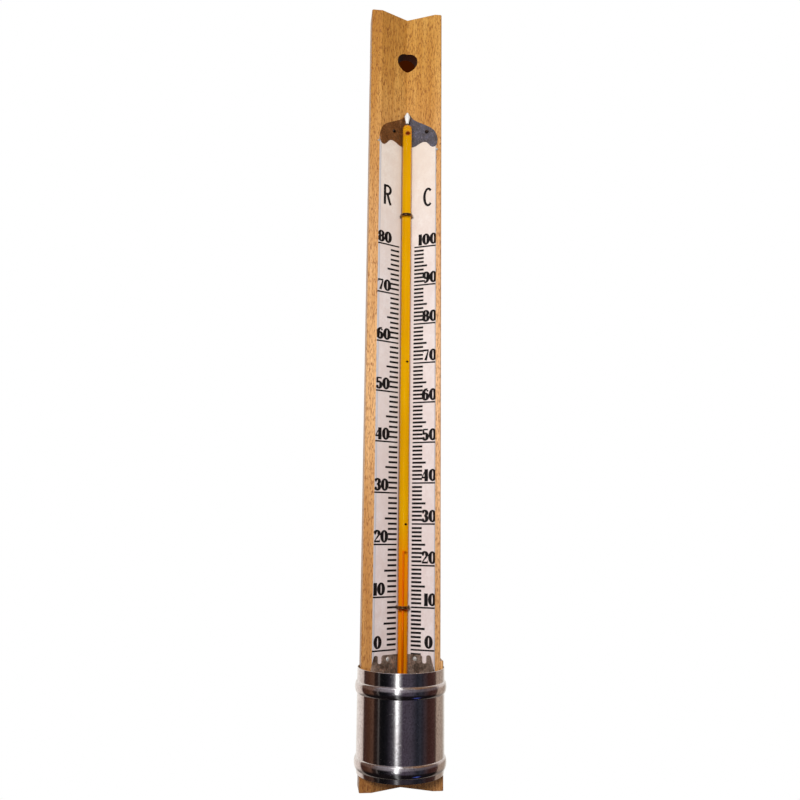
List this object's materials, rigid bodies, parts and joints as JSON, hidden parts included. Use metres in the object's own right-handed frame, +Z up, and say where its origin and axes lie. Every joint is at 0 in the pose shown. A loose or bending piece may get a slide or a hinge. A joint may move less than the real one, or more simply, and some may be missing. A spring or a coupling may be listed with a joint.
{
  "type": "dairy thermometer",
  "caption": "Hanging thermometer: a grooved beech board with a folded scale strip, a spirit-filled glass stem and a round sheet-metal sleeve that guards the bulb.",
  "frame": {"origin": "on the axis of the hanging hole, in the plane of the board's flat back", "axes": "+X to the reader's right, +Y out of the flat back towards the wall, +Z up along the board and the stem"},
  "size_m": [0.0416, 0.0416, 0.377],
  "materials": {
    "beech": "planed beech under clear varnish",
    "strip_enamel": "satin cream enamel",
    "stem_glass": "clear, fire polished",
    "yellow_enamel": "opaque yellow glass enamel",
    "bulb_glass": "clear",
    "red_spirit": "clear red liquid",
    "tinned_wire": "tinned",
    "dark_tinplate": "darkened sheet metal",
    "steel_nail": "bright",
    "polished_tinplate": "polished with fine scratches"
  },
  "bodies": {
    "thermometer": {"backboard": "beech", "scale_strip": "strip_enamel", "glass_stem": "stem_glass", "enamel_band": "yellow_enamel", "glass_bulb": "bulb_glass", "bulb_spirit": "red_spirit", "spirit_column": "red_spirit", "upper_wire_tie": "tinned_wire", "lower_wire_tie": "tinned_wire", "top_plate": "dark_tinplate", "top_plate_left_nail": "steel_nail", "top_plate_right_nail": "steel_nail", "bottom_plate": "dark_tinplate", "bottom_plate_left_nail": "steel_nail", "bottom_plate_right_nail": "steel_nail", "strip_left_brad": "steel_nail", "strip_right_brad": "steel_nail", "bulb_sleeve": "polished_tinplate"},
    "spirit_level": {"spirit_meniscus": "red_spirit"}
  },
  "joints": [
    {"name": "spirit_rise", "type": "slide", "parent": "thermometer", "child": "spirit_level", "axis": [0, 0, 1], "range_m": [-0.0444, 0.1478], "deforming": ["spirit_column"]}
  ]
}
